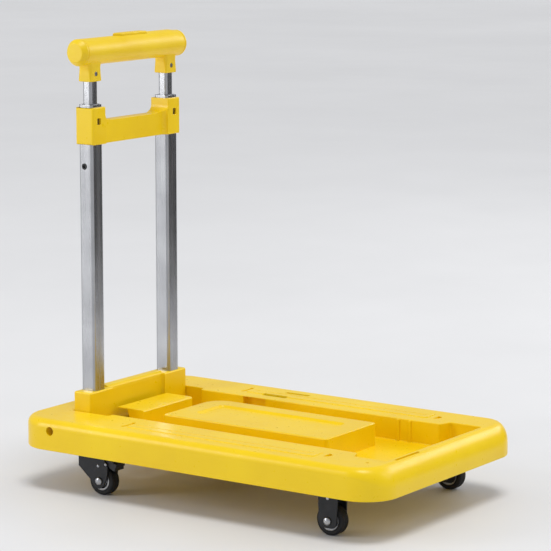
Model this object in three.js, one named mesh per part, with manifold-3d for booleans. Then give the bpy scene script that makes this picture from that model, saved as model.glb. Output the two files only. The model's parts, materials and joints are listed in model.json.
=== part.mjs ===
// Folding platform cart: a moulded deck on four small casters, with a three stage telescopic handle
// that folds forward into the deck. Millimetres, +Z up, +X to the front, origin on the floor under the
// middle of the deck. "right" is the -Y side and "left" the +Y side, seen from behind the handle.
import * as THREE from "three";
import { mergeVertices } from "three/addons/utils/BufferGeometryUtils.js";
import Module from "manifold-3d";

const wasm = await Module();
wasm.setup();

// ---------------------------------------------------------------- driving dimensions
const GAP = 0.3; // between pieces that touch
const DECK = {
  length: 434.8, width: 267.4, bottom: 42.3, top: 73.6, cornerRadius: 35, edgeRadius: 12, wall: 3,
};
const HINGE = { x: -171, z: 62.5, pinRadius: 4, pinStart: 46, pinEnd: 124 };
const SIDES = { right: -1, left: 1 };
const TUBE_Y = 62.5; // half the spacing of the two tube columns
const TUBE_WALL = 1.2;
const OUTER_TUBE = { size: 17.5, bottom: 68.3, top: 385.3 };
const MIDDLE_TUBE = { size: 14.5, bottom: 70, top: 384.9 };
const INNER_TUBE = { size: 11.5, bottom: 104.3, top: 432 };
const SEAT = { size: 11.5, height: 10 };
const FOOT = {
  depth: 21.5, halfWidth: 81.3, innerHalfWidth: 44, top: 93.5, barTop: 95, barFront: 7, barRear: 8,
};
const COLLAR = {
  depth: 23, halfWidth: 72.6, innerHalfWidth: 51.2, bottom: 345, top: 382.5, barTop: 368, windowZ: 368.3,
};
const GRIP = {
  z: 438, radius: 13.5, halfLength: 86.5, capLength: 7, capRadius: 9.5,
  stemX: 8, stemY: 9, stemBottom: 408.3, stemCorner: 2.5,
};
const HUMP = { start: -12, rise: 14, end: 64, lift: 1.3 };
const BUTTON = { halfLength: 25, halfWidth: 5.5, proud: 2.5, depth: 7, travel: 3 };
const WELL = {
  floor: 50.6, gripFloor: 48.6, halfWidth: 75, footHalfWidth: 82.2, gripHalfWidth: 88.5,
  rear: -183.4, footEnd: -137, gripStart: 158, front: 199,
};
const BOX = { rear: -95.5, front: 102.8, halfWidth: 45.2 };
const PEDAL = { rear: -159.4, front: -122.6, halfWidth: 41.5, bottom: 52, top: 73.3, wall: 2.6 };
const PAD = { rear: -97, front: 132, inner: 92, outer: 113, height: 0.7 };
const PANEL = { x: 3.5, y: 2, halfX: 76.5, halfY: 23.5, depth: 1.2 };
const CROSS_RIBS = [-98, -45, 8, 61, 114]; // where the ribs under the deck stand, along X
const LONG_RIB_Y = 104;
const RIB = 1.2; // half the thickness of a rib
const CASTER = {
  frontX: 152, rearX: -133, y: 108, trail: 11.3, wheelRadius: 15, wheelWidth: 12, plate: 36,
};
const PLATE_TOP = 46.7;
const PLATE_BOTTOM = 44.5;

// ---------------------------------------------------------------- materials
const paint = (name, color, roughness, metalness) =>
  Object.assign(new THREE.MeshStandardMaterial({ color, roughness, metalness }), { name });
const yellow = paint("yellow_plastic", 0xf2cf10, 0.35, 0);
const aluminium = paint("aluminium", 0xb9bcc0, 0.3, 1);
const blackSteel = paint("black_steel", 0x17181b, 0.4, 0.6);
const rubber = paint("black_rubber", 0x0e0e10, 0.75, 0);
const zinc = paint("zinc_steel", 0xa7abb0, 0.35, 1);
const blackPlastic = paint("black_plastic", 0x141414, 0.5, 0);
const greyPlastic = paint("grey_plastic", 0x8d9196, 0.45, 0);

// ---------------------------------------------------------------- solids
function solid(geometry) {
  const bare = geometry.clone();
  bare.deleteAttribute("normal");
  bare.deleteAttribute("uv");
  const merged = mergeVertices(bare, 1e-4);
  const vertProperties = new Float32Array(merged.attributes.position.array);
  const triVerts = new Uint32Array(merged.index.array);
  return new wasm.Manifold(new wasm.Mesh({ numProp: 3, vertProperties, triVerts }));
}

function toGeometry(manifold) {
  const { vertProperties, triVerts } = manifold.getMesh();
  const geometry = new THREE.BufferGeometry();
  geometry.setAttribute("position", new THREE.BufferAttribute(new Float32Array(vertProperties), 3));
  geometry.setIndex(new THREE.BufferAttribute(new Uint32Array(triVerts), 1));
  geometry.computeVertexNormals();
  return geometry;
}

const cart = new THREE.Group();

function addPiece(name, shape, material) {
  const geometry = shape.isBufferGeometry ? shape : toGeometry(shape);
  const mesh = new THREE.Mesh(geometry, material);
  mesh.name = name;
  cart.add(mesh);
}

const join = (...parts) => parts.reduce((a, b) => a.add(b));
const cut = (body, ...tools) => tools.reduce((a, b) => a.subtract(b), body);

// Points of an arc from angle a to angle b, in degrees.
function arc(cx, cy, radius, a, b, steps) {
  return Array.from({ length: steps + 1 }, (_, i) => {
    const angle = THREE.MathUtils.degToRad(a + ((b - a) * i) / steps);
    return [cx + radius * Math.cos(angle), cy + radius * Math.sin(angle)];
  });
}

function roundedRect(halfX, halfY, radius, steps, cx = 0, cy = 0) {
  const [x, y] = [halfX - radius, halfY - radius];
  return [
    ...arc(cx + x, cy + y, radius, 0, 90, steps),
    ...arc(cx - x, cy + y, radius, 90, 180, steps),
    ...arc(cx - x, cy - y, radius, 180, 270, steps),
    ...arc(cx + x, cy - y, radius, 270, 360, steps),
  ];
}

// The two ends of a stretch on one side of the middle, lowest first.
const stretch = (side, near, far) => (side > 0 ? [near, far] : [-far, -near]);
const rectangle = (x0, x1, y0, y1) => [[x0, y0], [x1, y0], [x1, y1], [x0, y1]];
const circle = (cx, cy, radius, steps) => arc(cx, cy, radius, 0, 360, steps).slice(0, -1);

function prism(outline, depth) {
  const shape = new THREE.Shape(outline.map(([x, y]) => new THREE.Vector2(x, y)));
  return new THREE.ExtrudeGeometry(shape, { depth, bevelEnabled: false });
}

// An outline in (x, y) extruded from z0 to z1.
const prismZ = (outline, z0, z1) => solid(prism(outline, z1 - z0).translate(0, 0, z0));
// An outline in (x, z) extruded from y0 to y1.
const prismY = (outline, y0, y1) => solid(prism(outline, y1 - y0).rotateX(Math.PI / 2).translate(0, y1, 0));
// An outline in (y, z) extruded from x0 to x1.
function prismX(outline, x0, x1) {
  const axes = new THREE.Matrix4().makeBasis(
    new THREE.Vector3(0, 1, 0), new THREE.Vector3(0, 0, 1), new THREE.Vector3(1, 0, 0));
  return solid(prism(outline, x1 - x0).applyMatrix4(axes).translate(x0, 0, 0));
}
const block = (x0, x1, y0, y1, z0, z1) => prismZ(rectangle(x0, x1, y0, y1), z0, z1);

// A solid of revolution about the Y axis through (x, z); the profile holds [radius, y] pairs.
function latheY(profile, x, z, steps) {
  const points = profile.map(([radius, y]) => new THREE.Vector2(radius, y));
  return solid(new THREE.LatheGeometry(points, steps).translate(x, 0, z));
}

// A closed skin over rings that have the same number of points.
function loft(rings) {
  const count = rings[0].length;
  const positions = rings.flat(2);
  const index = [];
  for (let r = 0; r + 1 < rings.length; r += 1) {
    for (let i = 0; i < count; i += 1) {
      const [a, b] = [r * count + i, r * count + ((i + 1) % count)];
      index.push(a, b, b + count, a, b + count, a + count);
    }
  }
  const last = (rings.length - 1) * count;
  for (let i = 1; i + 1 < count; i += 1) {
    index.push(0, i + 1, i);
    index.push(last, last + i, last + i + 1);
  }
  const geometry = new THREE.BufferGeometry();
  geometry.setAttribute("position", new THREE.Float32BufferAttribute(positions, 3));
  geometry.setIndex(index);
  return solid(geometry);
}

// ---------------------------------------------------------------- deck
function deckRing(inset, z) {
  const outline = roundedRect(
    DECK.length / 2 - inset, DECK.width / 2 - inset, DECK.cornerRadius - inset, 7);
  return outline.map(([x, y]) => [x, y, z]);
}

function mirrored(halfOutline) {
  return [...halfOutline, ...halfOutline.map(([x, y]) => [x, -y]).reverse()];
}

// The pocket that takes the folded handle, grown outward by the given amount.
function wellOutline(grow) {
  const footEnd = WELL.footEnd + grow;
  const gripStart = WELL.gripStart - grow;
  return mirrored([
    [WELL.rear - grow, WELL.footHalfWidth + grow],
    [footEnd, WELL.footHalfWidth + grow],
    [footEnd, WELL.halfWidth + grow],
    [gripStart, WELL.halfWidth + grow],
    [gripStart + 5, WELL.gripHalfWidth + grow],
    [WELL.front + grow, WELL.gripHalfWidth + grow],
  ]).reverse();
}

// The deeper trough under the folded grip, grown outward by the given amount.
function gripTrough(grow, z0, z1) {
  const half = WELL.gripHalfWidth + grow;
  return block(WELL.gripStart + 5 - grow, WELL.front + grow, -half, half, z0, z1);
}

// The raised box in the middle of the well; its rear left corner is round.
function boxOutline(inset) {
  const [x0, x1, y] = [BOX.rear + inset, BOX.front - inset, BOX.halfWidth - inset];
  const corner = 22 - inset;
  return [[x1, -y], [x1, y], ...arc(x0 + corner, y - corner, corner, 90, 180, 6), [x0, -y]];
}

function casterCentres() {
  return [CASTER.frontX, CASTER.rearX].flatMap((x) => [-1, 1].map((side) => [x, side * CASTER.y]));
}

// The closed solids that stand inside the hollow underside: pocket walls, caster bosses, pin bosses, ribs.
function underStructure() {
  const { bottom, top, wall } = DECK;
  const jacket = prismZ(wellOutline(wall), WELL.floor - wall, top);
  const underBox = prismZ(boxOutline(wall), bottom - 1, top - wall);
  const bosses = casterCentres().map(([x, y]) =>
    prismZ(roundedRect(23, 21, 3, 2, x, y), PLATE_TOP + GAP, top));
  const pinBosses = Object.values(SIDES).map((side) =>
    block(HINGE.x - 9, HINGE.x + 9, ...stretch(side, 80, 130), HINGE.z - 9, top));
  const crossRibs = CROSS_RIBS.map((x) => block(x - RIB, x + RIB, -130, 130, bottom + 3, top));
  const longRibs = Object.values(SIDES).map((side) =>
    block(-200, 200, ...stretch(side, LONG_RIB_Y - RIB, LONG_RIB_Y + RIB), bottom + 3, top));
  const trough = gripTrough(wall, WELL.gripFloor - wall, top);
  const all = join(jacket.subtract(underBox), trough, ...bosses, ...pinBosses, ...crossRibs, ...longRibs);
  return all.subtract(prismZ(boxOutline(wall), bottom - 1, WELL.floor - wall));
}

// Small cuts in the top face: rim slots, the slits behind the pads, a drain hole and two finger dimples.
function topCuts() {
  const over = DECK.top + 2;
  const slots = [
    block(-67, -37, 91.6, 93.2, DECK.top - 1.6, over),
    block(-50, -20, 112.2, 114, DECK.top - 1.6, over),
    block(202, 204.4, -80, -38, DECK.top - 3, over),
    prismZ(circle(188, -104, 1.8, 10), DECK.top - 3, over),
  ];
  const slits = Object.values(SIDES).map((side) =>
    block(PAD.rear - 3.6, PAD.rear - 2, ...stretch(side, PAD.inner, PAD.outer), DECK.top - 1.6, over));
  const dimples = Object.values(SIDES).map((side) =>
    prismZ(arc(139, side * 99.6, 6, -90, 90, 6), DECK.top - 1.8, over));
  return [...slots, ...slits, ...dimples];
}

function deckShell() {
  const { bottom, top, edgeRadius, wall } = DECK;
  const edge = arc(edgeRadius, top - edgeRadius, edgeRadius, 180, 90, 6);
  const profile = [[1.5, bottom], [0, bottom + 1.8], ...edge];
  const outer = loft(profile.map(([inset, z]) => deckRing(inset, z)));
  const ceiling = top - wall;
  const cavity = loft([
    deckRing(wall + 1, bottom - 1), deckRing(wall, ceiling - 9), deckRing(wall + 9, ceiling),
  ]);
  const hollow = cavity.subtract(underStructure());
  const seats = casterCentres().map(([x, y]) =>
    block(x - 22, x + 22, y - 20, y + 20, bottom - 1, PLATE_TOP + GAP));

  const box = prismZ(boxOutline(0), WELL.floor - 1, top + 9);
  const well = prismZ(wellOutline(0), WELL.floor, top + 5).subtract(box);
  const panelOutline = roundedRect(PANEL.halfX, PANEL.halfY, 4, 3, PANEL.x, PANEL.y);
  const panel = prismZ(panelOutline, top - PANEL.depth, top + 5);
  const reach = PEDAL.halfWidth + 1;
  const shaft = block(PEDAL.rear - 1, PEDAL.front + 1, -reach, reach, WELL.floor - wall - 1, WELL.floor + 1);
  const pinHole = prismY(circle(HINGE.x, HINGE.z, HINGE.pinRadius + 0.5, 16), -140, 140);

  const [padHalfX, padHalfY] = [(PAD.front - PAD.rear) / 2, (PAD.outer - PAD.inner) / 2];
  const pads = Object.values(SIDES).map((side) => {
    const middle = (side * (PAD.outer + PAD.inner)) / 2;
    const outline = roundedRect(padHalfX, padHalfY, 4, 3, (PAD.front + PAD.rear) / 2, middle);
    return prismZ(outline, top - 0.5, top + PAD.height);
  });

  const body = cut(outer, hollow, well, gripTrough(0, WELL.gripFloor, top + 5));
  return cut(join(body, ...pads), panel, shaft, pinHole, ...seats, ...topCuts());
}

function hingePin(side) {
  const { pinRadius, pinStart, pinEnd } = HINGE;
  const profile = [[0, pinStart], [pinRadius, pinStart], [pinRadius, pinEnd], [0, pinEnd]];
  const points = side > 0 ? profile : profile.map(([r, y]) => [r, -y]).reverse();
  return latheY(points, HINGE.x, HINGE.z, 16);
}

// The foot pedal that holds the handle upright; the folding foot bar presses it down into its shaft.
function lockPedal() {
  const { rear, front, halfWidth, bottom, top, wall } = PEDAL;
  const side = [
    [rear, bottom], [front, bottom], [front, top - 1.5], [front - 1.5, top], [rear + 3, top], [rear, top - 3],
  ];
  const inner = halfWidth - wall;
  const hollow = block(rear + wall, front - wall, -inner, inner, bottom - 1, top - wall);
  const window = [
    [rear - 1, bottom + 3], [rear + 20, bottom + 3],
    [rear + 15.5, top - wall / 2], [rear - 1, top - wall / 2],
  ];
  return cut(prismY(side, -halfWidth, halfWidth), hollow, prismY(window, -halfWidth - 1, halfWidth + 1));
}

// ---------------------------------------------------------------- folding handle
function squareTube({ size, bottom, top }, side) {
  const outline = (s, r) => roundedRect(s / 2, s / 2, r, 3, HINGE.x, side * TUBE_Y);
  const bore = size - 2 * TUBE_WALL;
  return prismZ(outline(size, 3), bottom, top).subtract(prismZ(outline(bore, 1.9), bottom - 1, top + 1));
}

const tubeBore = (size, side, z0, z1) =>
  prismZ(roundedRect(size / 2 + GAP, size / 2 + GAP, 3, 2, HINGE.x, side * TUBE_Y), z0, z1);

// Plan outline of a cross member with two thick ends and a thinner bar, joined by concave fillets.
function yokeOutline({ depth, halfWidth, innerHalfWidth }, frontX, rearX) {
  const radius = depth / 2 - frontX;
  const half = [
    [HINGE.x + depth / 2, halfWidth],
    [HINGE.x + depth / 2, innerHalfWidth],
    ...arc(HINGE.x + depth / 2, innerHalfWidth - radius, radius, 90, 180, 4).slice(1),
  ];
  return [...mirrored(half), [HINGE.x + rearX, -halfWidth], [HINGE.x + rearX, halfWidth]].reverse();
}

function footBracket() {
  const { depth, halfWidth, top, barTop, barFront, barRear, innerHalfWidth } = FOOT;
  const half = depth / 2;
  const sleeveSide = [
    ...arc(HINGE.x, HINGE.z, half, 180, 360, 8),
    [HINGE.x + half, top - 1.5], [HINGE.x + half - 1.5, top],
    [HINGE.x - half + 1.5, top], [HINGE.x - half, top - 1.5],
  ];
  const barSide = [
    [HINGE.x - barRear, HINGE.z - 4], [HINGE.x + barFront, HINGE.z - 4],
    ...arc(HINGE.x + barFront - 5, barTop - 5, 5, 0, 90, 4),
    ...arc(HINGE.x - barRear + 4, barTop - 4, 4, 90, 180, 3),
  ];
  const fillets = prismZ(yokeOutline(FOOT, barFront - 0.2, -barRear), HINGE.z + 2, top - 0.6);
  const bar = prismY(barSide, -innerHalfWidth - 2, innerHalfWidth + 2);
  const sleeves = Object.values(SIDES).map((side) =>
    prismY(sleeveSide, ...stretch(side, innerHalfWidth, halfWidth)));
  const limit = prismY(sleeveSide, -halfWidth, halfWidth);
  const bores = Object.values(SIDES).map((side) =>
    tubeBore(OUTER_TUBE.size, side, OUTER_TUBE.bottom - GAP, top + 5));
  const pin = prismY(circle(HINGE.x, HINGE.z, HINGE.pinRadius + 0.5, 16), -halfWidth - 1, halfWidth + 1);
  return cut(join(bar, ...sleeves, fillets.intersect(limit)), ...bores, pin);
}

function collarBracket() {
  const { depth, halfWidth, innerHalfWidth, bottom, top, barTop } = COLLAR;
  const half = [
    [0, bottom], [innerHalfWidth, bottom], [halfWidth - 1.5, bottom], [halfWidth, bottom + 1.5],
    [halfWidth, top - 1.5], [halfWidth - 1.5, top], [innerHalfWidth + 1, top],
    ...arc(innerHalfWidth - 6, top - 7, 7, 0, -60, 3),
    ...arc(innerHalfWidth - 14, barTop + 6, 6, 300, 270, 2),
    [0, barTop],
  ];
  const frontView = [...half, ...half.slice(1, -1).map(([y, z]) => [-y, z]).reverse()];
  const slab = prismX(frontView, HINGE.x - depth / 2, HINGE.x + depth / 2);
  const plan = prismZ(yokeOutline(COLLAR, 6.5, -depth / 2), bottom - 1, top + 1);
  const scoop = innerHalfWidth - 4;
  const rearScoop = block(HINGE.x - depth, HINGE.x - 7, -scoop, scoop, bottom - 1, top + 1);
  const bores = Object.values(SIDES).map((side) => tubeBore(OUTER_TUBE.size, side, bottom - 1, top + 1));
  const windows = Object.values(SIDES).map((side) => {
    const outline = roundedRect(2.8, 3.2, 0.6, 2, side * (TUBE_Y + 0.4), COLLAR.windowZ);
    return prismX(outline, HINGE.x + 5, HINGE.x + depth);
  });
  return cut(slab.intersect(plan), rearScoop, ...bores, ...windows);
}

const LOCK = { x: HINGE.x - 1.5, z: 323, radius: 3 };

function outerTube(side) {
  const outline = circle(LOCK.x, LOCK.z, LOCK.radius + GAP, 12);
  const hole = prismY(outline, ...stretch(side, TUBE_Y + 6, TUBE_Y + 12));
  return squareTube(OUTER_TUBE, side).subtract(hole);
}

// A plastic bush in the lock hole, with a small bore of its own.
function lockBush(side) {
  const [y0, y1] = stretch(side, TUBE_Y + 7.65, TUBE_Y + 9.3);
  const ring = prismY(circle(LOCK.x, LOCK.z, LOCK.radius, 12), y0, y1);
  return ring.subtract(prismY(circle(LOCK.x, LOCK.z, 1.6, 8), y0 - 1, y1 + 1));
}

function springSeat(side) {
  const top = INNER_TUBE.bottom - GAP;
  const outline = roundedRect(SEAT.size / 2, SEAT.size / 2, 2.6, 3, HINGE.x, side * TUBE_Y);
  return prismZ(outline, top - SEAT.height, top);
}

// A round section of the grip; its upper half may be lifted to make the hump around the button.
const gripCircle = (radius, y, lift = 0) => circle(0, 0, radius, 24).map(([dx, dz]) =>
  [HINGE.x + dx, y, GRIP.z + dz + (lift * Math.max(0, dz)) / radius]);

// A grip stem around the head of an inner tube, widening where it meets the grip.
function gripStem(side) {
  const ring = (growX, growY, z) => {
    const [x, y] = [GRIP.stemX + growX, GRIP.stemY + growY];
    const outline = roundedRect(x, y, GRIP.stemCorner, 3, HINGE.x, side * TUBE_Y);
    return outline.map(([px, py]) => [px, py, z]);
  };
  return loft([
    ring(-0.8, -0.8, GRIP.stemBottom), ring(0, 0, GRIP.stemBottom + 0.8),
    ring(0, 0, GRIP.z - 16), ring(1, 4, GRIP.z - 6),
  ]);
}

function gripBody() {
  const reach = GRIP.halfLength - GRIP.capLength;
  const bar = loft([
    gripCircle(GRIP.radius - 0.8, reach), gripCircle(GRIP.radius, reach - 0.8),
    gripCircle(GRIP.radius, HUMP.end, HUMP.lift), gripCircle(GRIP.radius, HUMP.start, HUMP.lift),
    gripCircle(GRIP.radius, HUMP.start - HUMP.rise),
    gripCircle(GRIP.radius, -reach + 0.8), gripCircle(GRIP.radius - 0.8, -reach),
  ]);
  const sides = Object.values(SIDES);
  const bores = sides.map((side) =>
    tubeBore(INNER_TUBE.size, side, GRIP.stemBottom - 1, INNER_TUBE.top + GAP));
  const slotFloor = GRIP.z + GRIP.radius - BUTTON.depth - BUTTON.travel - GAP;
  const slot = prismZ(buttonOutline(0.4), slotFloor, GRIP.z + 20);
  const screws = sides.map((side) =>
    prismX(circle(side * TUBE_Y, SCREW.z, SCREW.radius + GAP, 12), HINGE.x + 6.6, HINGE.x + 12));
  return cut(join(bar, ...sides.map(gripStem)), ...bores, slot, ...screws);
}

function gripCap(side) {
  const start = GRIP.halfLength - GRIP.capLength + GAP;
  const rings = [
    gripCircle(GRIP.radius - 0.4, side * start),
    gripCircle(GRIP.radius, side * (start + 0.6)),
    gripCircle(GRIP.radius, side * (start + 2)),
    gripCircle(GRIP.capRadius, side * GRIP.halfLength),
  ];
  return loft(side < 0 ? rings : rings.reverse());
}

// The thumb button: pointed at its right end, square at its left end.
function buttonOutline(grow) {
  const [length, width] = [BUTTON.halfLength + grow, BUTTON.halfWidth + grow];
  const half = [
    [0, -length], [width - 1.5, -length + 6], [width, -length + 9], [width, length - 1], [width - 1, length],
  ];
  const outline = [...half, ...half.slice(1).map(([x, y]) => [-x, y]).reverse()];
  return outline.map(([x, y]) => [x + HINGE.x, y]);
}

function thumbButton() {
  const top = GRIP.z + GRIP.radius + BUTTON.proud;
  const ring = (grow, z) => buttonOutline(grow).map(([x, y]) => [x, y, z]);
  return loft([ring(0, GRIP.z + GRIP.radius - BUTTON.depth), ring(0, top - 1), ring(-1, top)]);
}

const SCREW = { z: 416, radius: 2.2 };

function stemScrew(side) {
  const head = prismX(circle(side * TUBE_Y, SCREW.z, SCREW.radius, 12), HINGE.x + 6.9, HINGE.x + 7.8);
  const socket = prismX(circle(side * TUBE_Y, SCREW.z, 1.1, 6), HINGE.x + 7.3, HINGE.x + 9);
  return head.subtract(socket);
}

// ---------------------------------------------------------------- casters
const WHEEL_Z = CASTER.wheelRadius;
const FORK = { inner: 7.6, outer: 9.2, crownTop: 44, crownBottom: 42.2 };

// Two fork legs with the given side outline, and the bore for the axle through both.
function forkLegs(outline, wheelX, y) {
  const bore = prismY(circle(wheelX, WHEEL_Z, 2.3, 10), y - 20, y + 20);
  const slabs = Object.values(SIDES).map((side) => {
    const [y0, y1] = stretch(side, FORK.inner, FORK.outer);
    return prismY(outline, y + y0, y + y1);
  });
  return { slabs, bore };
}

function swivelFork(x, y) {
  const wheelX = x + CASTER.trail;
  const outline = [
    [x - 14.5, FORK.crownTop], [x - 14.5, 28], [wheelX - 10.5, WHEEL_Z],
    ...arc(wheelX - 1, WHEEL_Z - 1.5, 6.5, 215, 325, 6),
    [wheelX + 9.5, WHEEL_Z + 3], [wheelX + 11, 30], [x + 14, FORK.crownTop],
  ];
  const { slabs, bore } = forkLegs(outline, wheelX, y);
  const crown = prismZ(roundedRect(14, FORK.outer, 4, 3, x, y), FORK.crownBottom, FORK.crownTop);
  const kingpinHole = prismZ(circle(x, y, 3.6, 16), FORK.crownBottom - 5, FORK.crownTop + 5);
  return cut(join(crown, ...slabs), bore, kingpinHole);
}

function rigidFork(x, y) {
  const outline = [
    [x - 13, FORK.crownTop], [x - 10.8, FORK.crownTop - 7], [x - 10, WHEEL_Z],
    ...arc(x - 4, WHEEL_Z - 1, 6, 180, 270, 4), ...arc(x + 4, WHEEL_Z - 1, 6, 270, 360, 4),
    [x + 10, WHEEL_Z], [x + 10.8, FORK.crownTop - 7], [x + 13, FORK.crownTop],
  ];
  const { slabs, bore } = forkLegs(outline, x, y);
  const half = CASTER.plate / 2;
  const outer = FORK.outer;
  const crown = block(x - 13, x + 13, y - outer, y + outer, FORK.crownBottom, PLATE_TOP - 1);
  const plate = prismZ(roundedRect(half, half, 4, 3, x, y), PLATE_BOTTOM, PLATE_TOP);
  return cut(join(crown, ...slabs, plate), bore);
}

// The fixed plate of a swivel caster, with the kingpin rivet that the fork turns on.
function swivelPlate(x, y) {
  const half = CASTER.plate / 2;
  const plate = prismZ(roundedRect(half, half, 4, 3, x, y), PLATE_BOTTOM, PLATE_TOP);
  const kingpin = prismZ(circle(x, y, 3.2, 12), FORK.crownBottom - 1.6, PLATE_BOTTOM + 1);
  const head = prismZ(circle(x, y, 5, 12), FORK.crownBottom - 1.8, FORK.crownBottom - GAP);
  return join(plate, kingpin, head);
}

// A solid of revolution about a wheel's axle, from [radius, y] pairs about the wheel's middle.
const wheelLathe = (profile, x, y, steps) =>
  latheY(profile.map(([radius, across]) => [radius, y + across]), x, WHEEL_Z, steps);

// The axle bolt: a shank through both legs, with a round head on one side and a nut on the other.
function axle(x, y) {
  const [shank, head, reach] = [2, 4, FORK.outer + GAP];
  const profile = [
    [0, -reach - 2.4], [head - 0.8, -reach - 2.4], [head, -reach - 1.6], [head, -reach], [shank, -reach],
    [shank, reach], [head, reach], [head, reach + 1.6], [head - 0.8, reach + 2.4], [0, reach + 2.4],
  ];
  return wheelLathe(profile, x, y, 12);
}

function wheelHub(x, y) {
  const [bore, rim, half] = [2.4, 10.2, CASTER.wheelWidth / 2];
  const profile = [
    [bore, -half - 1], [4.6, -half - 1], [5, -half + 1.6], [8.4, -half + 1.6], [9, -half + 0.2],
    [rim, -half + 0.2], [rim, half - 0.2], [9, half - 0.2], [8.4, half - 1.6], [5, half - 1.6],
    [4.6, half + 1], [bore, half + 1], [bore, -half - 1],
  ];
  return wheelLathe(profile, x, y, 24);
}

function tyre(x, y) {
  const [inner, outer, half] = [10.2 + GAP, CASTER.wheelRadius, CASTER.wheelWidth / 2];
  const profile = [
    [inner, -half], [outer - 2.2, -half], [outer - 0.6, -half + 1.2], [outer, -half + 3.4],
    [outer, half - 3.4], [outer - 0.6, half - 1.2], [outer - 2.2, half], [inner, half], [inner, -half],
  ];
  return wheelLathe(profile, x, y, 28);
}

// The brake lever of a swivel caster, on a pivot above the wheel; its tread points along the trail.
const BRAKE = { dx: 2, z: 35 };

function brakeLever(x, y) {
  const [px, pz] = [x + CASTER.trail + BRAKE.dx, BRAKE.z];
  const side = [
    [px - 3, pz - 1.5], [px + 3, pz - 2], [px + 15, pz - 8], [px + 17, pz - 8],
    [px + 17, pz - 5], [px + 12, pz - 2], [px + 3, pz + 2], [px - 3, pz + 2],
  ];
  return prismY(side, y - FORK.inner + GAP, y + FORK.inner - GAP);
}

// ---------------------------------------------------------------- assembly
addPiece("deck_shell", deckShell(), yellow);
addPiece("lock_pedal", lockPedal(), yellow);
addPiece("foot_bracket", footBracket(), yellow);
addPiece("collar_bracket", collarBracket(), yellow);
addPiece("grip_body", gripBody(), yellow);
addPiece("thumb_button", thumbButton(), yellow);

for (const [name, side] of Object.entries(SIDES)) {
  addPiece(`hinge_pin_${name}`, hingePin(side), zinc);
  addPiece(`outer_tube_${name}`, outerTube(side), aluminium);
  addPiece(`lock_bush_${name}`, lockBush(side), blackPlastic);
  addPiece(`middle_tube_${name}`, squareTube(MIDDLE_TUBE, side), aluminium);
  addPiece(`spring_seat_${name}`, springSeat(side), greyPlastic);
  addPiece(`inner_tube_${name}`, squareTube(INNER_TUBE, side), aluminium);
  addPiece(`stem_screw_${name}`, stemScrew(side), zinc);
  addPiece(`grip_cap_${name}`, gripCap(side), yellow);

  const y = side * CASTER.y;
  const [rearX, frontX] = [CASTER.rearX, CASTER.frontX];
  addPiece(`rear_${name}_plate`, swivelPlate(rearX, y), blackSteel);
  addPiece(`rear_${name}_fork`, swivelFork(rearX, y), blackSteel);
  addPiece(`rear_${name}_brake`, brakeLever(rearX, y), blackPlastic);
  addPiece(`front_${name}_fork`, rigidFork(frontX, y), blackSteel);
  for (const [end, wheelX] of [["rear", rearX + CASTER.trail], ["front", frontX]]) {
    addPiece(`${end}_${name}_axle`, axle(wheelX, y), zinc);
    addPiece(`${end}_${name}_hub`, wheelHub(wheelX, y), greyPlastic);
    addPiece(`${end}_${name}_tyre`, tyre(wheelX, y), rubber);
  }
}

export default cart;
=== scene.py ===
import json
import math
import bmesh
import bpy
from mathutils import Matrix, Vector


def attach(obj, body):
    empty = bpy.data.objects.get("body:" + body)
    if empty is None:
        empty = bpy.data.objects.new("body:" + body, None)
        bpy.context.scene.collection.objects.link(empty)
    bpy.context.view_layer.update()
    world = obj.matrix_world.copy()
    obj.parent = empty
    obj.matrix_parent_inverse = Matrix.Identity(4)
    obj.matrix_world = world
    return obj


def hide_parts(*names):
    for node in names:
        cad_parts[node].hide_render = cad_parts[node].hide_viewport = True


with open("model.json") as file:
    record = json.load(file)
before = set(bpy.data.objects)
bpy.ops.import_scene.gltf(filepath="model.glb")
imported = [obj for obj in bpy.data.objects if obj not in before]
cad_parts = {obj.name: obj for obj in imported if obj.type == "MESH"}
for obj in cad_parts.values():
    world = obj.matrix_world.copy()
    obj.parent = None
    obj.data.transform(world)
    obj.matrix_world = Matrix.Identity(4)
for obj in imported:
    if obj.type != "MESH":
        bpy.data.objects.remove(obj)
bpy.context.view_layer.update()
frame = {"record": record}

MM = 0.001
GAP = 0.3
SIDES = {"right": -1, "left": 1}

# Deck: half sizes, heights, wall, and how far its upper edge is rolled over.
DECK_X, DECK_Y, DECK_BOTTOM, DECK_TOP, DECK_CORNER, WALL = 217.4, 133.7, 42.3, 73.6, 35.0, 3.0
ROLL_SIDE, ROLL_FRONT_ACROSS, ROLL_FRONT_DOWN = 8.5, 15.0, 22.5
CORNER_STEPS, ROLL_STEPS = 24, 12
RIB_BOTTOM, RIB_END_X, RIB_END_Y = DECK_BOTTOM + 3, 200, 130
CROSS_RIBS, CROSS_RIB_HALF, LONG_RIB = (-98, -45, 8, 61, 114), 1.2, (102.8, 105.2)

# The handle's axis, and the well it folds into: the foot's bay, the tubes' bay and the grip's bay.
HINGE_X, HINGE_Z, PIN_RADIUS, PIN_INNER, PIN_OUTER = -171.0, 62.5, 4.0, 46, 124
BOSS_INNER, BOSS_OUTER, BOSS_HALF = 80, 130, 9
TUBE_Y = 62.5
WELL_FLOOR, GRIP_FLOOR = 50.6, 48.6
FOOT_BAY_REAR, FOOT_BAY_FRONT, FOOT_BAY_HALF, TUBE_BAY_HALF = -183.4, -137.0, 82.2, 75.0
GRIP_BAY_REAR, GRIP_BAY_FRONT, GRIP_BAY_HALF, GRIP_BAY_FLARE = 158.0, 199.0, 88.5, 5.0
WALL_RIBS, WALL_RIB_HALF = (110, 123.6), 1.6

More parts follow.
